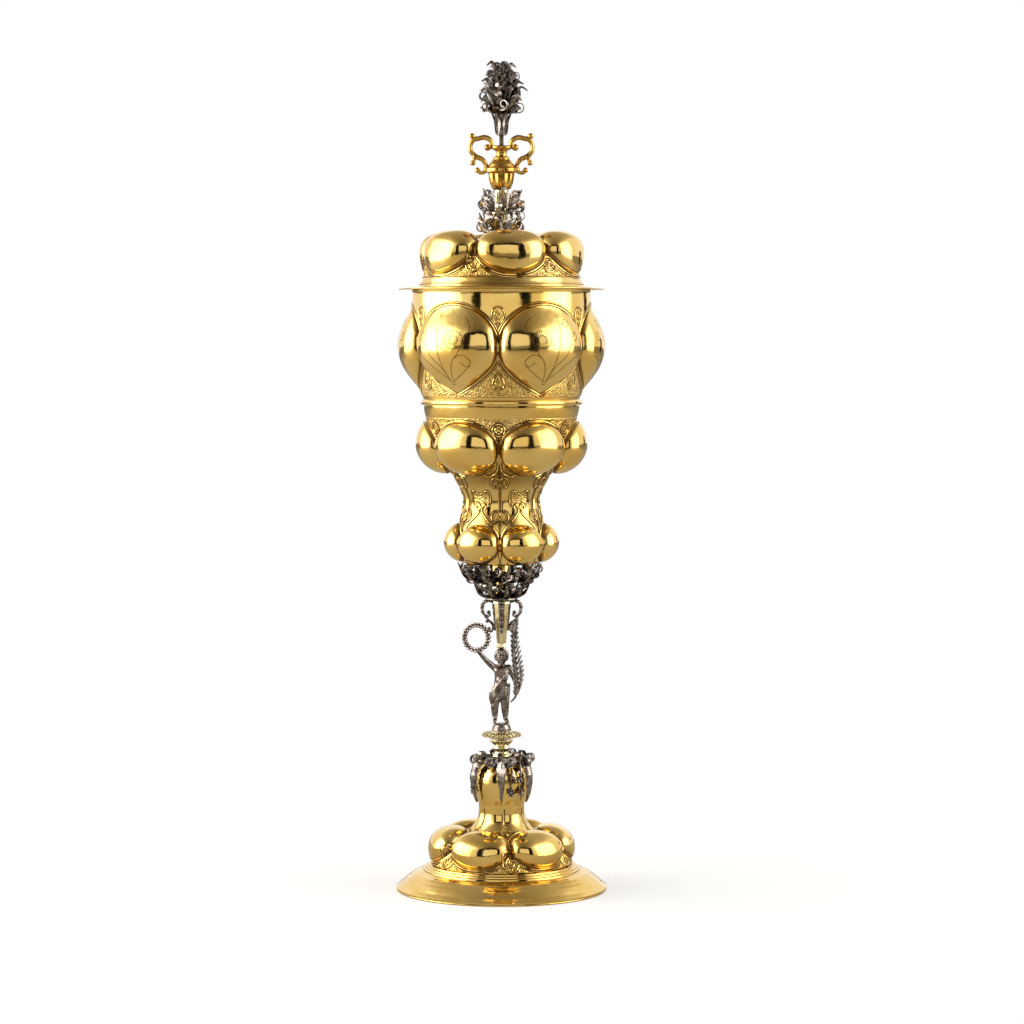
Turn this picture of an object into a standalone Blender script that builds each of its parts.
# Standing cup and cover of raised silver, with tiers of round bosses in sixes.
# Metres, +Z up. The cup stands on z = 0, its axis is Z and its front faces -Y.
# The pieces are stacked on the axis: each one's height starts from the top of the one below it.

import math

import bmesh
import bpy
from mathutils import Matrix, Vector

# Fits and metal thicknesses
gap = 0.0003
sheet = 0.0009
leaf_sheet = 0.0006
rim_wall = 0.0010
lid_clearance = 0.0006

# The pattern of bosses round the axis, and how finely round shapes are cut
lobes = 6
lobe_angle = 2 * math.pi / lobes
boss_facets = 4
widest_boss = 0.92
narrowest_boss = 0.50
even_width = 0.75
turned_steps = 30
knop_steps = 20
tube_steps = 16
nut_sides = 6
collar_leaves = 6
foot_turn = math.radians(8)
bowl_turn = math.radians(-2)
cover_turn = math.radians(-21.5)

# Foot: wire, sloping flange with steps, bossed dome and creased neck
foot_radius = 0.0573
foot_wire_width = 0.0030
foot_wire_height = 0.0016
flange_rise = 0.0087
flange_swell = 0.0012
step_radius = 0.0428
step_count = 3
step_width = 0.0014
step_height = 0.0012
ledge_width = 0.0022
foot_wall = 0.0008
foot_boss_inset = 0.0010
foot_boss_rise = 0.0160
foot_boss_inner_radius = 0.0185
foot_boss_bulge = 0.0107
neck_radius = 0.0118
neck_length = 0.0127
neck_crease = 0.0007
flare_fall = 0.82
flare_spread = 0.42

# Knop on the neck, and its collar
knop_radius = 0.0147
knop_height = 0.0258
knop_foot_radius = 0.0123
foot_collar_fit = 0.0006
foot_collar_band = 0.0010
foot_collar_spread = 0.0066
foot_collar_flare = 0.0018
foot_collar_drop = 0.0225

# Rod from the foot into the figure, with nut and plate under the neck
stem_rod_radius = 0.0014
stem_rod_tail = 0.0015
foot_nut_radius = 0.0050
foot_nut_height = 0.0036
foot_washer_height = 0.0012

# Spool and gadrooned disc
spool_height = 0.0105
spool_radius = 0.0046
spool_waist = 0.0036
spool_head = 0.0062
disc_radius = 0.0109
disc_height = 0.0042
disc_hub_radius = 0.0060
disc_edge_height = 0.0014

# Cast figure, its mound, wreath and palm
mound_radius = 0.0052
mound_height = 0.0042
rod_seat_depth = 0.0026
figure_height = 0.0449
head_radius = 0.0037
head_stretch = 1.3
figure_grain = 0.0006
figure_share = 0.10
wreath_radius = 0.0069
wreath_wire = 0.0014
wreath_reach = 0.0136
wreath_forward = 0.0030
wreath_above_head = 0.0062
palm_reach = 0.0078
palm_forward = 0.0020
palm_hand_height = 0.0250
palm_bow = 0.0016
palm_tail_share = 0.22
palm_bare_share = 0.15
palm_length = 0.0430
palm_width = 0.0021
palm_stalk = 0.0007
hand_radius = 0.0013

# Tapered shaft, its brackets and the plate over them
shaft_length = 0.0260
shaft_sides = 8
shaft_foot_radius = 0.0029
shaft_head_radius = 0.0046
bracket_wire = 0.0008
bracket_reach = 0.0115
bracket_length = 0.0165
plate_radius = 0.0090
plate_height = 0.0015

# Socket, bolt and collars under the bowl
socket_radius = 0.0050
socket_shoulder = 0.0072
socket_shoulder_height = 0.0012
socket_height = 0.0165
socket_lower_height = 0.0072
bolt_radius = 0.0014
bolt_depth = 0.0080
bolt_head_radius = 0.0038
bolt_head_height = 0.0030
bowl_washer_radius = 0.0075
bowl_washer_height = 0.0010
bowl_collar_radius = 0.0222
bowl_collar_rise = 0.0080
bowl_collar_lower_radius = 0.0158

# Lower bowl: bottom, tier of small bosses, waist, tier of middle bosses, plain band
bowl_foot_radius = 0.0205
bowl_foot_rise = 0.0010
small_boss_rise = 0.0212
small_boss_top_radius = 0.0222
small_boss_bulge = 0.0097
waist_radius = 0.0199
waist_crease = 0.0010
waist_height = 0.0260
middle_boss_foot_radius = 0.0260
middle_boss_rise = 0.0300
band_radius = 0.0423
middle_boss_bulge = 0.0127
band_flare = 0.0019
middle_boss_top_radius = band_radius - band_flare
band_height = 0.0097
band_seat = 0.0014

# Moulding, and upper bowl with its large bosses and lip
moulding_height = 0.0030
moulding_width = 0.0012
upper_foot_height = 0.0026
large_boss_inset = 0.0007
large_boss_foot_radius = band_radius + large_boss_inset
large_boss_rise = 0.0490
large_boss_spread = 0.0054
large_boss_top_radius = large_boss_foot_radius + large_boss_spread
large_boss_bulge = 0.0107
large_boss_peak = 0.53
lip_height = 0.0086
lip_flare = 0.0009
lip_radius = large_boss_top_radius + lip_flare
lip_edge = 0.0008

# Cover: rim, bezel, bossed dome
# Its radii follow the lip that it rests on
cover_rim_overhang = 0.0066
cover_rim_radius = lip_radius + cover_rim_overhang
cover_rim_droop = 0.0007
bezel_depth = 0.0090
dome_inset = 0.0041
dome_radius = lip_radius - dome_inset
rim_lap = 0.0016
cover_rim_inner_radius = dome_radius - rim_lap
dome_cove_width = 0.0025
dome_neck_radius = dome_radius - dome_cove_width
dome_cove_height = 0.0060
cover_boss_inset = 0.0009
cover_boss_foot_radius = dome_neck_radius - cover_boss_inset
cover_boss_rise = 0.0185
cover_boss_inner_radius = 0.0180
cover_boss_bulge = 0.0148
crown_rise = 0.0020

# Tube and collars on the cover
tube_radius = 0.0036
tube_height = 0.0253
tube_foot_radius = 0.0066
tube_foot_height = 0.0014
tube_shoulder_radius = 0.0060
tube_shoulder_height = 0.0010
tube_lower_length = 0.0110
cover_collar_radius = 0.0150
cover_collar_rise = 0.0075

# Vase finial with two handles
urn_height = 0.0236
urn_foot_radius = 0.0052
urn_belt_radius = 0.0087
urn_neck_radius = 0.0038
urn_rim_radius = 0.0057
handle_wire = 0.0010
handle_reach = 0.0159
handle_height = 0.0185

# Rod through the finial, with nut and plate inside the cover
finial_rod_radius = 0.0012
finial_rod_tail = 0.0012
finial_nut_radius = 0.0040
finial_nut_height = 0.0030
finial_washer_radius = 0.0064
finial_washer_height = 0.0010

# Bouquet in its holder
holder_lift = 0.0055
holder_height = 0.0110
holder_foot_radius = 0.0027
holder_head_radius = 0.0039
bouquet_radius = 0.0130
bouquet_height = 0.0298
bouquet_lower_rise = 0.0090
bouquet_middle_rise = 0.0180
bouquet_middle_radius = 0.0118
bouquet_middle_start = 0.0030
bouquet_upper_start = 0.0022
bouquet_upper_radius = 0.0072


def new_material(name, colour, roughness):
    material = bpy.data.materials.new(name)
    material.use_nodes = True
    shader = material.node_tree.nodes["Principled BSDF"]
    shader.inputs["Base Color"].default_value = (*colour, 1.0)
    shader.inputs["Metallic"].default_value = 1.0
    shader.inputs["Roughness"].default_value = roughness
    return material


def place_mesh(name, points, edges, faces, material):
    mesh = bpy.data.meshes.new(name)
    mesh.from_pydata(points, edges, faces)
    mesh.materials.append(material)
    obj = bpy.data.objects.new(name, mesh)
    bpy.data.collections["cup_and_cover"].objects.link(obj)
    return obj


# A turned solid. The profile is (radius, height) pairs from the top down the outer side.
# A ring's profile comes back up the bore and closes on itself.
def turned(name, profile, material, steps=turned_steps, closed=False):
    points = [(radius, 0, height) for radius, height in profile]
    edges = [(i, i + 1) for i in range(len(points) - 1)]
    if closed:
        edges.append((len(points) - 1, 0))
    obj = place_mesh(name, points, edges, [], material)
    screw = obj.modifiers.new("turn", "SCREW")
    screw.steps = steps
    screw.render_steps = steps
    screw.use_merge_vertices = True
    screw.merge_threshold = 0.00001
    return obj


def ring(name, inner, outer, low, high, material, steps=turned_steps):
    profile = [(outer, high), (outer, low), (inner, low), (inner, high)]
    return turned(name, profile, material, steps, closed=True)


def raise_sheet(obj, thickness):
    solidify = obj.modifiers.new("sheet", "SOLIDIFY")
    solidify.thickness = thickness
    solidify.offset = -1


# A tube or wire along (x, y, z) points, with an optional radius factor at each of them.
def wire(name, points, radius, material, factors=None):
    curve = bpy.data.curves.new(name, "CURVE")
    curve.dimensions = "3D"
    curve.bevel_depth = radius
    curve.bevel_resolution = 2
    curve.use_fill_caps = True
    spline = curve.splines.new("POLY")
    spline.points.add(len(points) - 1)
    for i, point in enumerate(points):
        spline.points[i].co = (*point, 1)
        spline.points[i].radius = factors[i] if factors else 1
    curve.materials.append(material)
    obj = bpy.data.objects.new(name, curve)
    bpy.data.collections["cup_and_cover"].objects.link(obj)
    return obj


# One row of a bossed shell: the plain ground's radius and height, how far a boss's ridge
# stands off it, and the boss's width as a share of the pitch.
def row(radius, height, out=0.0, up=0.0, width=even_width):
    return {"radius": radius, "height": height, "out": out, "up": up, "width": width}


# A tier of bosses from the low to the high point of its ground. A ridge stands off the ground by
# bulge * (1 - v * v) ** crown, with v from -1 at the boss's low end to 1 at its high end.
# Its outline is narrowed in the same way by foot_width below its widest place.
def boss_tier(low, high, bulge, count, crown=0.5, peak=0.5, foot_width=0.5):
    chord = Vector(high) - Vector(low)
    normal = Vector((chord.y, -chord.x)).normalized()
    rows = []
    for i in range(count + 1):
        v = math.sin(math.pi / 2 * (2 * i / count - 1))
        share = peak * (1 + v) if v < 0 else peak + (1 - peak) * v
        ground = Vector(low) + chord * share
        left = max(0.0, 1 - v * v)
        ridge = normal * bulge * left**crown
        outline = left ** (foot_width if v < 0 else 0.5)
        width = max(narrowest_boss, outline) * widest_boss
        rows.append(row(ground.x, ground.y, ridge.x, ridge.y, width))
    return rows


# The shell over rows of ground and bosses, listed from the top down. Each lobe takes boss_facets + 1
# columns over its boss, and one more in the middle of the ground before the next boss.
def bossed_shell(name, rows, turn, material):
    columns = []
    for lobe in range(lobes):
        for j in range(boss_facets + 1):
            across = math.pi / 2 * (2 * j / boss_facets - 1)
            columns.append((lobe, math.sin(across), math.cos(across)))
        columns.append((lobe + 0.5, 0, 0))
    points = []
    for place in rows:
        for centre, side, rise in columns:
            angle = turn + (centre + side * place["width"] / 2) * lobe_angle
            radius = place["radius"] + place["out"] * rise
            height = place["height"] + place["up"] * rise
            points.append((radius * math.cos(angle), radius * math.sin(angle), height))
    count = len(columns)
    faces = []
    for i in range(len(rows) - 1):
        for j in range(count):
            k = (j + 1) % count
            faces.append((i * count + j, (i + 1) * count + j, (i + 1) * count + k, i * count + k))
    obj = place_mesh(name, points, [], faces, material)
    raise_sheet(obj, sheet)
    return obj


# A collar of cut and curled leaves. It is flat from its hole to start, and its leaves follow a quadratic
# curve through the (radius, height) points start, bend and tip. Between the leaves the sheet stops
# at the notch's share of the curve.
def leaf_collar(name, hole, start, bend, tip, material, notch=0.35, turn=0.0):
    steps = 3
    reach = (1.0, 0.85, notch, 0.85)
    count = collar_leaves * len(reach)
    places = [[(hole, start[1])] * count]
    for i in range(steps + 1):
        places.append([])
        for j in range(count):
            s = i / steps * reach[j % len(reach)]
            section = [
                (1 - s) ** 2 * a + 2 * s * (1 - s) * b + s * s * c
                for a, b, c in zip(start, bend, tip)
            ]
            places[-1].append(section)
    points = []
    for line in places:
        for j, (radius, height) in enumerate(line):
            angle = turn + 2 * math.pi * j / count
            points.append((radius * math.cos(angle), radius * math.sin(angle), height))
    faces = []
    for i in range(len(places) - 1):
        for j in range(count):
            k = (j + 1) % count
            faces.append((i * count + j, (i + 1) * count + j, (i + 1) * count + k, i * count + k))
    obj = place_mesh(name, points, [], faces, material)
    raise_sheet(obj, leaf_sheet)


def use_as_tool(obj):
    bpy.data.collections["cup_and_cover"].objects.unlink(obj)
    bpy.data.collections["tools"].objects.link(obj)
    obj.hide_render = True
    obj.display_type = "WIRE"


def adopt(obj, name, material):
    for collection in list(obj.users_collection):
        collection.objects.unlink(obj)
    bpy.data.collections["cup_and_cover"].objects.link(obj)
    obj.name = name
    obj.data.materials.append(material)


def clear_scene():
    for obj in list(bpy.data.objects):
        bpy.data.objects.remove(obj, do_unlink=True)
    for name in ("cup_and_cover", "tools"):
        bpy.context.scene.collection.children.link(bpy.data.collections.new(name))


# Foot. Returns the height of the neck's top, and the radius and height of the seat for the plate inside.
def build_foot(gilt):
    wire_inner = foot_radius - foot_wire_width
    ring("foot_rim_wire", wire_inner, foot_radius, 0, foot_wire_height, gilt)

    low = foot_wire_height + gap
    slope_top = low + flange_rise
    ledge = slope_top + step_count * step_height
    ledge_radius = step_radius - step_count * step_width
    profile = [(ledge_radius - ledge_width, ledge)]
    for i in reversed(range(step_count)):
        tread = step_radius - (i + 1) * step_width
        level = slope_top + (i + 1) * step_height
        profile.append((tread, level))
        profile.append((tread + step_width * 0.5, level - step_height * 0.7))
    profile.append((step_radius, slope_top))
    slope_width = foot_radius - step_radius
    for share in (0.4, 0.75):
        swell = 4 * share * (1 - share) * flange_swell
        fall = (flange_rise - foot_wall) * share
        profile.append((step_radius + slope_width * share + swell, slope_top - fall + swell))
    profile.append((foot_radius, low + foot_wall))
    profile.append((foot_radius, low))
    raise_sheet(turned("foot_flange", profile, gilt), sheet)

    dome_low = ledge + gap
    dome_radius_low = ledge_radius - gap
    boss_low = dome_low + foot_wall + foot_boss_inset
    boss_high = boss_low + foot_boss_rise
    foot_point = (dome_radius_low - foot_boss_inset, boss_low)
    neck_point = (foot_boss_inner_radius, boss_high)
    bosses = boss_tier(foot_point, neck_point, foot_boss_bulge, 6)
    neck_top = boss_high + neck_length
    flare = foot_boss_inner_radius - neck_radius
    rows = []
    for fall, spread in ((0, 0), (0.5, 0.04), (flare_fall, flare_spread)):
        neck_place = neck_radius + flare * spread
        rows.append(row(neck_place, neck_top - neck_length * fall, neck_crease, 0, widest_boss))
    rows += bosses[::-1]
    rows += [row(dome_radius_low, dome_low + foot_wall), row(dome_radius_low, dome_low)]
    bossed_shell("foot_dome", rows, foot_turn, gilt)
    # The plate inside bears on the middle of the lowest stretch of the flare
    plate_radius_low = foot_boss_inner_radius - flare * (1 - flare_spread) / 2 - sheet
    plate_level = boss_high + neck_length * (1 - flare_fall) / 2 - sheet
    return neck_top, plate_radius_low, plate_level


# Knop, its collar, and the rod's nut and plate inside the foot. Returns the knop's top
# and the nut's underside.
def build_knop(neck_top, seat_radius, seat_level, gilt, silver):
    low = neck_top + gap
    high = low + knop_height
    bore = stem_rod_radius + gap
    profile = [
        (bore, high),
        (spool_radius, high),
        (knop_radius * 0.66, high - knop_height * 0.07),
        (knop_radius * 0.90, high - knop_height * 0.22),
        (knop_radius, high - knop_height * 0.45),
        (knop_radius * 0.98, high - knop_height * 0.65),
        (knop_foot_radius * 1.03, high - knop_height * 0.88),
        (knop_foot_radius, low + foot_wall),
        (knop_foot_radius, low),
    ]
    raise_sheet(turned("foot_knop", profile, gilt, knop_steps), sheet)

    collar_level = high + leaf_sheet + gap
    collar_hole = spool_radius + foot_collar_fit
    start = (collar_hole + foot_collar_band, collar_level)
    bend = (knop_radius + foot_collar_spread, collar_level)
    tip = (knop_radius + foot_collar_flare, high - foot_collar_drop)
    leaf_collar("foot_leaf_collar", collar_hole, start, bend, tip, silver, notch=0.42)

    washer_low = seat_level - foot_washer_height
    nut_top = washer_low - gap
    nut_low = nut_top - foot_nut_height
    ring("foot_washer", bore, seat_radius, washer_low, seat_level, silver, tube_steps)
    ring("foot_nut", bore, foot_nut_radius, nut_low, nut_top, silver, nut_sides)
    return high, nut_low


# Spool and gadrooned disc. Returns the disc's top.
def build_spool(knop_top, gilt, silver):
    bore = stem_rod_radius + gap
    low = knop_top + gap
    high = low + spool_height
    profile = [
        (spool_head, high),
        (spool_head, high - spool_height * 0.10),
        (spool_waist, high - spool_height * 0.26),
        (spool_radius, high - spool_height * 0.45),
        (spool_waist, high - spool_height * 0.62),
        (spool_radius, low + spool_height * 0.14),
        (spool_radius, low),
        (bore, low),
        (bore, high),
    ]
    turned("stem_spool", profile, gilt, tube_steps, closed=True)

    disc_low = high + gap
    disc_high = disc_low + disc_height
    profile = [
        (disc_hub_radius, disc_high),
        (disc_radius, disc_low + disc_edge_height * 2),
        (disc_radius, disc_low + disc_edge_height),
        (disc_hub_radius, disc_low),
        (bore, disc_low),
        (bore, disc_high),
    ]
    turned("stem_disc", profile, gilt, closed=True)
    return disc_high


# The figure's joints: sideways, forward and up as shares of its height, and the thickness there.
figure_joints = {
    "pelvis": (-0.010, 0.00, 0.560, 0.072),
    "waist": (-0.006, 0.00, 0.640, 0.062),
    "chest": (-0.004, 0.00, 0.725, 0.078),
    "neck": (0.000, 0.00, 0.840, 0.036),
    "left_shoulder": (-0.085, 0.00, 0.765, 0.034),
    "left_elbow": (-0.155, 0.03, 0.815, 0.030),
    "right_shoulder": (0.085, 0.00, 0.760, 0.034),
    "right_elbow": (0.145, 0.01, 0.650, 0.030),
    "left_hip": (-0.052, 0.00, 0.500, 0.052),
    "left_knee": (-0.058, 0.02, 0.300, 0.040),
    "left_foot": (-0.055, 0.00, 0.075, 0.030),
    "right_hip": (0.045, 0.00, 0.500, 0.052),
    "right_knee": (0.040, 0.015, 0.290, 0.040),
    "right_foot": (0.050, 0.00, 0.075, 0.030),
}
figure_bones = (
    ("pelvis", "waist"),
    ("waist", "chest"),
    ("chest", "neck"),
    ("chest", "left_shoulder"),
    ("left_shoulder", "left_elbow"),
    ("left_elbow", "left_hand"),
    ("chest", "right_shoulder"),
    ("right_shoulder", "right_elbow"),
    ("right_elbow", "right_hand"),
    ("pelvis", "left_hip"),
    ("left_hip", "left_knee"),
    ("left_knee", "left_foot"),
    ("pelvis", "right_hip"),
    ("right_hip", "right_knee"),
    ("right_knee", "right_foot"),
)


# Cast figure on its mound, with the wreath over one hand and the palm before the other.
# Returns the top of the head.
def build_figure(disc_top, nut_low, silver):
    low = disc_top + gap
    bore = stem_rod_radius + gap
    rod_top = low + rod_seat_depth - gap
    rod_low = nut_low - stem_rod_tail
    rod_profile = [(0, rod_top), (stem_rod_radius, rod_top), (stem_rod_radius, rod_low), (0, rod_low)]
    turned("stem_rod", rod_profile, silver, tube_steps)

    wreath_centre_z = low + figure_height + wreath_above_head
    wreath_under = wreath_centre_z - wreath_radius - wreath_wire
    left_hand = (-wreath_reach, -wreath_forward, wreath_under - gap - hand_radius)
    right_hand = (palm_reach, -palm_forward, low + palm_hand_height)

    joints = {"left_hand": (Vector(left_hand), hand_radius), "right_hand": (Vector(right_hand), hand_radius)}
    for name, (side, forward, up, thick) in figure_joints.items():
        point = Vector((side * figure_height, -forward * figure_height, low + up * figure_height))
        joints[name] = (point, thick * figure_height)
    figure = place_mesh("stem_figure", [], [], [], silver)
    shape = bmesh.new()
    for point, thick in joints.values():
        bmesh.ops.create_icosphere(shape, subdivisions=2, radius=thick, matrix=Matrix.Translation(point))
    for near, far in figure_bones:
        start, start_radius = joints[near]
        end, end_radius = joints[far]
        along = end - start
        middle = Matrix.Translation((start + end) / 2)
        bmesh.ops.create_cone(
            shape,
            cap_ends=True,
            segments=12,
            radius1=start_radius,
            radius2=end_radius,
            depth=along.length,
            matrix=middle @ along.to_track_quat("Z", "Y").to_matrix().to_4x4(),
        )
    shape.to_mesh(figure.data)
    shape.free()
    remesh = figure.modifiers.new("one_body", "REMESH")
    remesh.mode = "VOXEL"
    remesh.voxel_size = figure_grain
    coarsen = figure.modifiers.new("coarsen", "DECIMATE")
    coarsen.ratio = figure_share

    top = low + mound_height
    profile = [
        (0, top),
        (mound_radius * 0.7, top),
        (mound_radius, low + mound_height * 0.4),
        (mound_radius, low),
        (bore, low),
        (bore, low + rod_seat_depth),
        (0, low + rod_seat_depth),
    ]
    bpy.ops.mesh.primitive_uv_sphere_add(
        segments=12,
        ring_count=8,
        radius=head_radius,
        location=(0, 0, low + figure_height - head_radius * head_stretch),
    )
    head = bpy.context.object
    head.scale = (1, 1, head_stretch)
    adopt(head, "head", silver)
    for tool in (turned("mound", profile, silver, tube_steps), head):
        use_as_tool(tool)
        join = figure.modifiers.new(tool.name, "BOOLEAN")
        join.operation = "UNION"
        join.object = tool

    bpy.ops.mesh.primitive_torus_add(
        major_radius=wreath_radius,
        minor_radius=wreath_wire,
        major_segments=20,
        minor_segments=6,
        location=(-wreath_reach, -wreath_forward, wreath_centre_z),
        rotation=(math.pi / 2, 0, 0),
    )
    adopt(bpy.context.object, "figure_wreath", silver)

    stalk_y = right_hand[1] - hand_radius - gap - palm_stalk
    grip_z = right_hand[2]
    palm_points = []
    palm_factors = []
    for i in range(9):
        s = i / 8
        bow = math.sin(math.pi * s) * palm_bow
        level = grip_z + palm_length * (s - palm_tail_share)
        palm_points.append((palm_reach - palm_bow * 0.6 + bow, stalk_y, level))
        blade = max(0.0, math.sin(math.pi * max(0.0, s - palm_bare_share) / (1 - palm_bare_share)))
        palm_factors.append(palm_stalk / palm_width + (1 - palm_stalk / palm_width) * blade**0.7)
    wire("figure_palm", palm_points, palm_width, silver, palm_factors)
    return low + figure_height


# Tapered shaft, four brackets and the plate. Returns the plate's top.
def build_shaft(head_top, gilt, silver):
    low = head_top + gap
    high = low + shaft_length
    bore = bolt_radius + gap
    profile = [
        (0, high - bolt_depth),
        (bore, high - bolt_depth),
        (bore, high),
        (shaft_head_radius, high),
        (shaft_foot_radius, low),
        (0, low),
    ]
    turned("stem_shaft", profile, gilt, shaft_sides)

    plate_low = high + gap
    plate_high = plate_low + plate_height
    ring("stem_plate", bore, plate_radius, plate_low, plate_high, silver, tube_steps)

    bracket_top = plate_low - gap - bracket_wire
    taper = (shaft_head_radius - shaft_foot_radius) / shaft_length
    foot_level = bracket_top - bracket_length
    foot_reach = shaft_foot_radius + taper * (foot_level - low) + gap + bracket_wire
    span = bracket_reach - foot_reach
    # A bracket's line: share of the reach outwards and share of the length down
    line = (
        (0.15, 0.00), (0.55, 0.00), (0.90, 0.10), (1.00, 0.24), (0.88, 0.38), (0.55, 0.50),
        (0.30, 0.62), (0.36, 0.76), (0.46, 0.88), (0.28, 1.00), (0.00, 1.00),
    )
    for name, quarter in (("front", 3), ("right", 0), ("back", 1), ("left", 2)):
        angle = quarter * math.pi / 2
        points = []
        for out, down in line:
            reach = foot_reach + span * out
            level = bracket_top - bracket_length * down
            points.append((reach * math.cos(angle), reach * math.sin(angle), level))
        wire("bracket_" + name, points, bracket_wire, silver)
    return plate_high


# Socket, its two collars, and the bolt with its plate. Returns the socket's top.
def build_socket(plate_top, gilt, silver):
    bore = bolt_radius + gap
    collar_level = plate_top + gap + leaf_sheet
    leaf_collar(
        "bowl_leaf_collar_lower",
        bore,
        (socket_radius + gap, collar_level),
        (plate_radius, collar_level),
        (bowl_collar_lower_radius, collar_level + bowl_collar_rise),
        silver,
    )
    low = collar_level + gap
    high = low + socket_height
    shoulder = low + socket_lower_height
    profile = [
        (socket_radius, high),
        (socket_radius, shoulder + socket_shoulder_height),
        (socket_shoulder, shoulder + socket_shoulder_height),
        (socket_shoulder, shoulder),
        (socket_radius, shoulder),
        (socket_radius, low),
        (bore, low),
        (bore, high),
    ]
    turned("bowl_socket", profile, silver, tube_steps, closed=True)
    seat = shoulder + socket_shoulder_height + gap + leaf_sheet
    leaf_collar(
        "bowl_leaf_collar_upper",
        socket_radius + gap * 2,
        (socket_shoulder, seat),
        (bowl_collar_radius * 0.6, seat),
        (bowl_collar_radius, seat + bowl_collar_rise),
        silver,
        turn=math.radians(30),
    )
    return high


# Lower and upper bowl, moulding, and the bolt through the bottom. Returns the lip's top.
def build_bowl(socket_top, shaft_top, gilt, silver):
    base = socket_top + gap
    bore = bolt_radius + gap
    small_low = base + bowl_foot_rise
    small_high = small_low + small_boss_rise
    middle_low = small_high + waist_height
    middle_high = middle_low + middle_boss_rise
    band_low = middle_high
    joint = band_low + band_height
    small = boss_tier(
        (bowl_foot_radius, small_low), (small_boss_top_radius, small_high), small_boss_bulge, 4
    )
    middle = boss_tier(
        (middle_boss_foot_radius, middle_low),
        (middle_boss_top_radius, middle_high),
        middle_boss_bulge,
        6,
    )
    rows = [
        row(band_radius, joint),
        row(band_radius, joint - band_seat - gap),
        row((band_radius + middle_boss_top_radius) / 2, band_low + band_height * 0.35),
    ]
    rows += middle[::-1]
    for share, spread in ((0.84, 0.38), (0.58, 0.0), (0.25, 0.15)):
        out_radius = middle_boss_foot_radius if share > 0.5 else small_boss_top_radius
        radius = waist_radius + (out_radius - waist_radius) * spread
        rows.append(row(radius, small_high + waist_height * share, waist_crease, 0, widest_boss))
    rows += small[::-1]
    rows += [row(bowl_foot_radius * 0.85, base), row(bore, base)]
    bossed_shell("bowl_lower", rows, bowl_turn, gilt)

    washer_low = base + sheet + gap
    washer_high = washer_low + bowl_washer_height
    ring("bowl_washer", bore, bowl_washer_radius, washer_low, washer_high, silver, tube_steps)
    head_low = washer_high + gap
    head_high = head_low + bolt_head_height
    bolt_end = shaft_top - bolt_depth + gap
    profile = [
        (0, head_high),
        (bolt_head_radius, head_high),
        (bolt_head_radius, head_low),
        (bolt_radius, head_low),
        (bolt_radius, bolt_end),
        (0, bolt_end),
    ]
    turned("bowl_bolt", profile, silver, nut_sides * 2)

    upper_low = joint + gap
    inner = band_radius + gap
    moulding_low = joint - moulding_height / 2
    moulding_high = joint + moulding_height / 2
    profile = [
        (inner, moulding_high),
        (inner + moulding_width, joint + moulding_height * 0.2),
        (inner + moulding_width, joint - moulding_height * 0.2),
        (inner, moulding_low),
    ]
    turned("bowl_moulding", profile, gilt, closed=True)

    large_low = upper_low + upper_foot_height
    large_high = large_low + large_boss_rise
    lip_top = large_high + lip_height
    large = boss_tier(
        (large_boss_foot_radius, large_low),
        (large_boss_top_radius, large_high),
        large_boss_bulge,
        6,
        crown=1.5,
        peak=large_boss_peak,
        foot_width=1.0,
    )
    rows = [row(lip_radius, lip_top), row(lip_radius, lip_top - lip_edge)]
    rows.append(row(large_boss_top_radius, large_high + lip_height * 0.4))
    rows += large[::-1]
    rows += [row(band_radius, upper_low + upper_foot_height * 0.6), row(band_radius, upper_low)]
    bossed_shell("bowl_upper", rows, bowl_turn, gilt)
    return lip_top


# Rim, bezel and bossed dome of the cover. Returns the dome's top.
def build_cover(lip_top, gilt):
    rim_low = lip_top + gap
    rim_high = rim_low + rim_wall
    flat_radius = lip_radius + rim_wall
    profile = [
        (cover_rim_inner_radius, rim_high),
        (flat_radius, rim_high),
        (cover_rim_radius, rim_high - cover_rim_droop),
        (cover_rim_radius, rim_low - cover_rim_droop),
        (flat_radius, rim_low),
        (cover_rim_inner_radius, rim_low),
    ]
    turned("cover_rim", profile, gilt, closed=True)

    bezel_top = rim_low - gap
    bezel_outer = large_boss_top_radius - sheet - lid_clearance
    bezel_low = bezel_top - bezel_depth
    ring("cover_bezel", bezel_outer - sheet, bezel_outer, bezel_low, bezel_top, gilt)

    base = rim_high + gap
    boss_low = base + dome_cove_height
    boss_high = boss_low + cover_boss_rise
    crown = boss_high + crown_rise
    bore = finial_rod_radius + gap
    bosses = boss_tier(
        (cover_boss_foot_radius, boss_low),
        (cover_boss_inner_radius, boss_high),
        cover_boss_bulge,
        6,
    )
    rows = [
        row(bore, crown),
        row(tube_foot_radius, crown),
        row((tube_foot_radius + cover_boss_inner_radius) / 2, boss_high + crown_rise * 0.7),
    ]
    rows += bosses[::-1]
    rows += [
        row(dome_neck_radius, base + dome_cove_height * 0.5),
        row(dome_radius, base + foot_wall),
        row(dome_radius, base),
    ]
    bossed_shell("cover_dome", rows, cover_turn, gilt)
    return crown


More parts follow.
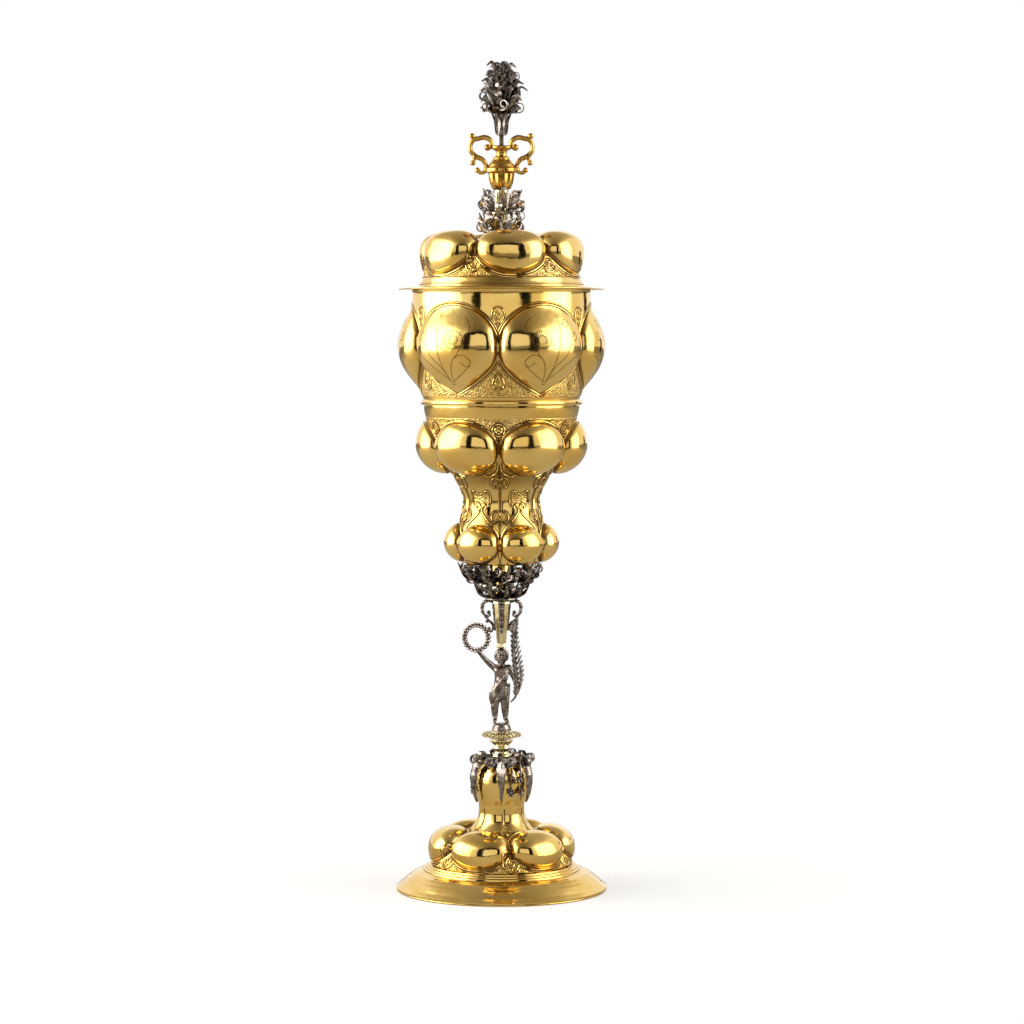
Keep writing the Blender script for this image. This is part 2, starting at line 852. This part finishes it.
# Tube with its two collars on the dome. Returns the tube's top.
def build_tube(crown, gilt, silver):
    bore = finial_rod_radius + gap
    low = crown + gap
    high = low + tube_height
    foot_top = low + tube_foot_height
    shoulder = foot_top + tube_lower_length
    shoulder_top = shoulder + tube_shoulder_height
    profile = [
        (tube_radius, high),
        (tube_radius, shoulder_top),
        (tube_shoulder_radius, shoulder_top),
        (tube_shoulder_radius, shoulder),
        (tube_radius, shoulder),
        (tube_radius, foot_top),
        (tube_foot_radius, foot_top),
        (tube_foot_radius, low),
        (bore, low),
        (bore, high),
    ]
    turned("cover_tube", profile, gilt, tube_steps, closed=True)
    collars = (
        ("lower", tube_foot_radius, foot_top, 0.0),
        ("upper", tube_shoulder_radius, shoulder_top, math.radians(30)),
    )
    for name, start, level, turn in collars:
        seat = level + gap + leaf_sheet
        leaf_collar(
            "cover_leaf_collar_" + name,
            tube_radius + gap * 2,
            (start, seat),
            (cover_collar_radius * 0.8, seat),
            (cover_collar_radius, seat + cover_collar_rise),
            silver,
            turn=turn,
        )
    return high


# Vase with its two handles. Returns the vase's top.
def build_urn(tube_top, gilt):
    bore = finial_rod_radius + gap
    low = tube_top + gap
    high = low + urn_height
    # The vase's outline from the rim down: radius, and share of the height
    outline = (
        (urn_rim_radius, 1.00), (urn_rim_radius, 0.95), (urn_neck_radius, 0.86),
        (urn_neck_radius, 0.76), (urn_belt_radius * 0.85, 0.57), (urn_belt_radius, 0.48),
        (urn_belt_radius, 0.41), (urn_belt_radius * 0.86, 0.37), (urn_belt_radius * 0.80, 0.20),
        (urn_foot_radius, 0.0),
    )
    profile = [(radius, low + urn_height * share) for radius, share in outline]
    profile += [(bore, low), (bore, high)]
    turned("urn_body", profile, gilt, tube_steps, closed=True)

    top_reach = urn_rim_radius + gap + handle_wire
    belt_reach = urn_belt_radius + gap + handle_wire
    belt_level = low + urn_height * 0.445
    span = handle_reach - top_reach
    # A handle's line: share of the reach beyond the rim, and share of the height over the belt
    line = (
        (0.00, 0.62), (0.12, 0.86), (0.42, 0.97), (0.80, 0.94), (0.98, 0.76), (1.00, 0.55),
        (0.86, 0.36), (0.74, 0.20), (0.62, 0.10),
    )
    for name, side in (("left", -1), ("right", 1)):
        points = []
        for out, up in line:
            reach = top_reach + span * out
            points.append((side * reach, 0, belt_level + handle_height * up))
        points.append((side * belt_reach, 0, belt_level))
        wire("urn_handle_" + name, points, handle_wire, gilt)
    return high


# Rod with nut and plate, holder and three rings of leaves.
def build_bouquet(crown, urn_top, silver):
    bore = finial_rod_radius + gap
    washer_high = crown - sheet - gap
    washer_low = washer_high - finial_washer_height
    nut_high = washer_low - gap
    nut_low = nut_high - finial_nut_height
    ring("finial_washer", bore, finial_washer_radius, washer_low, washer_high, silver, tube_steps)
    ring("finial_nut", bore, finial_nut_radius, nut_low, nut_high, silver, nut_sides)

    holder_low = urn_top + holder_lift
    holder_high = holder_low + holder_height
    profile = [
        (holder_head_radius, holder_high),
        (holder_foot_radius, holder_low),
        (bore, holder_low),
        (bore, holder_high),
    ]
    turned("bouquet_holder", profile, silver, tube_steps, closed=True)

    lower = holder_high + gap + leaf_sheet
    middle = lower + gap + leaf_sheet
    upper = middle + gap + leaf_sheet
    rod_top = upper + gap
    rod_low = nut_low - finial_rod_tail
    profile = [(0, rod_top), (finial_rod_radius, rod_top), (finial_rod_radius, rod_low), (0, rod_low)]
    turned("finial_rod", profile, silver, tube_steps)
    # Each ring of leaves: name, level, radius where it starts to rise, tip radius and height, turn
    rings = (
        ("lower", lower, holder_head_radius, bouquet_radius, lower + bouquet_lower_rise, 0),
        ("middle", middle, bouquet_middle_start, bouquet_middle_radius, middle + bouquet_middle_rise, 30),
        ("upper", upper, bouquet_upper_start, bouquet_upper_radius, holder_high + bouquet_height, 0),
    )
    for name, level, start, tip, height, turn in rings:
        bend = (tip * 0.5, level)
        leaf_collar(
            "bouquet_leaves_" + name,
            bore,
            (start, level),
            bend,
            (tip, height),
            silver,
            turn=math.radians(turn),
        )


def main():
    clear_scene()
    gilt = new_material("gilt_silver", (0.90, 0.62, 0.22), 0.2)
    silver = new_material("oxidised_silver", (0.35, 0.31, 0.29), 0.35)
    neck_top, seat_radius, seat_level = build_foot(gilt)
    knop_top, nut_low = build_knop(neck_top, seat_radius, seat_level, gilt, silver)
    disc_top = build_spool(knop_top, gilt, silver)
    head_top = build_figure(disc_top, nut_low, silver)
    shaft_top = head_top + gap + shaft_length
    plate_top = build_shaft(head_top, gilt, silver)
    socket_top = build_socket(plate_top, gilt, silver)
    lip_top = build_bowl(socket_top, shaft_top, gilt, silver)
    crown = build_cover(lip_top, gilt)
    tube_top = build_tube(crown, gilt, silver)
    urn_top = build_urn(tube_top, gilt)
    build_bouquet(crown, urn_top, silver)


main()
